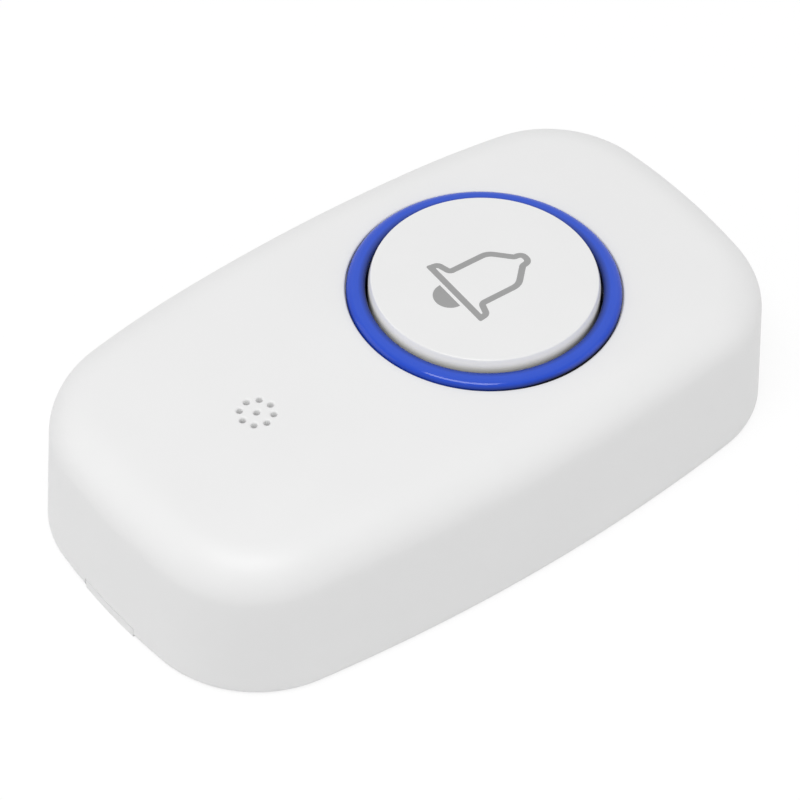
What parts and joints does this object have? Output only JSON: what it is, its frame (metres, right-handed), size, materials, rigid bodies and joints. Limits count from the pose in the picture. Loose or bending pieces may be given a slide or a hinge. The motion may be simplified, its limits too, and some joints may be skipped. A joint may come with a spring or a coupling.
{
  "type": "wireless doorbell",
  "caption": "Wall-mounted wireless doorbell push unit: bowed white housing, round push button in a blue light ring, sound holes, radio board, battery and wall plate.",
  "frame": {"origin": "middle of the rear face that lies on the wall", "axes": "+Y along the length towards the button, +Z away from the wall, +X across the width"},
  "size_m": [0.048, 0.0839, 0.0213],
  "materials": {
    "shell_plastic": "satin moulded white ABS",
    "plate_plastic": "satin moulded white ABS",
    "ring_plastic": "blue translucent polycarbonate",
    "cap_plastic": "satin moulded white ABS",
    "spring_steel": "drawn spring wire",
    "switch_plastic": "black moulded nylon",
    "cover_steel": "stamped stainless sheet",
    "tinned_metal": "tin plated",
    "board_laminate": "green solder mask on glass laminate",
    "led_package": "white package with clear resin",
    "chip_resin": "black moulding resin",
    "can_steel": "nickel plated can",
    "antenna_copper": "enamelled copper wire",
    "capacitor_can": "bare aluminium can",
    "chip_ceramic": "fired ceramic",
    "buzzer_plastic": "black moulded plastic",
    "seal_foam": "closed-cell foam",
    "cell_can": "plain wrapped can",
    "contact_steel": "nickel plated spring steel",
    "screw_steel": "zinc plated"
  },
  "bodies": {
    "housing": {"front_shell": "shell_plastic", "rear_plate": "plate_plastic", "light_ring": "ring_plastic", "return_spring": "spring_steel", "switch_base": "switch_plastic", "switch_cover": "cover_steel", "switch_pins": "tinned_metal", "circuit_board": "board_laminate", "ring_leds": "led_package", "controller_chip": "chip_resin", "controller_leads": "tinned_metal", "rf_resonator": "can_steel", "resonator_leads": "tinned_metal", "rf_transistor": "chip_resin", "antenna_coil": "antenna_copper", "storage_capacitor": "capacitor_can", "chip_resistors": "chip_resin", "chip_capacitors": "chip_ceramic", "buzzer_body": "buzzer_plastic", "buzzer_pins": "tinned_metal", "buzzer_seal": "seal_foam", "battery_cell": "cell_can", "battery_plus_contact": "contact_steel", "battery_minus_contact": "contact_steel", "battery_spring": "contact_steel", "board_screws": "screw_steel"},
    "button": {"button_cap": "cap_plastic"},
    "plunger": {"switch_plunger": "switch_plastic"}
  },
  "joints": [
    {"name": "button_press", "type": "slide", "parent": "housing", "child": "button", "axis": [0, 0, -1], "range_m": [0, 0.0008], "stiffness_N_per_m": 1500, "springref_m": -0.0004, "deforming": ["return_spring"]},
    {"name": "plunger_press", "type": "slide", "parent": "housing", "child": "plunger", "axis": [0, 0, -1], "range_m": [0, 0.00025]}
  ],
  "couplings": [
    {"joint": "plunger_press", "follows": "button_press", "ratio": 0.3125}
  ]
}
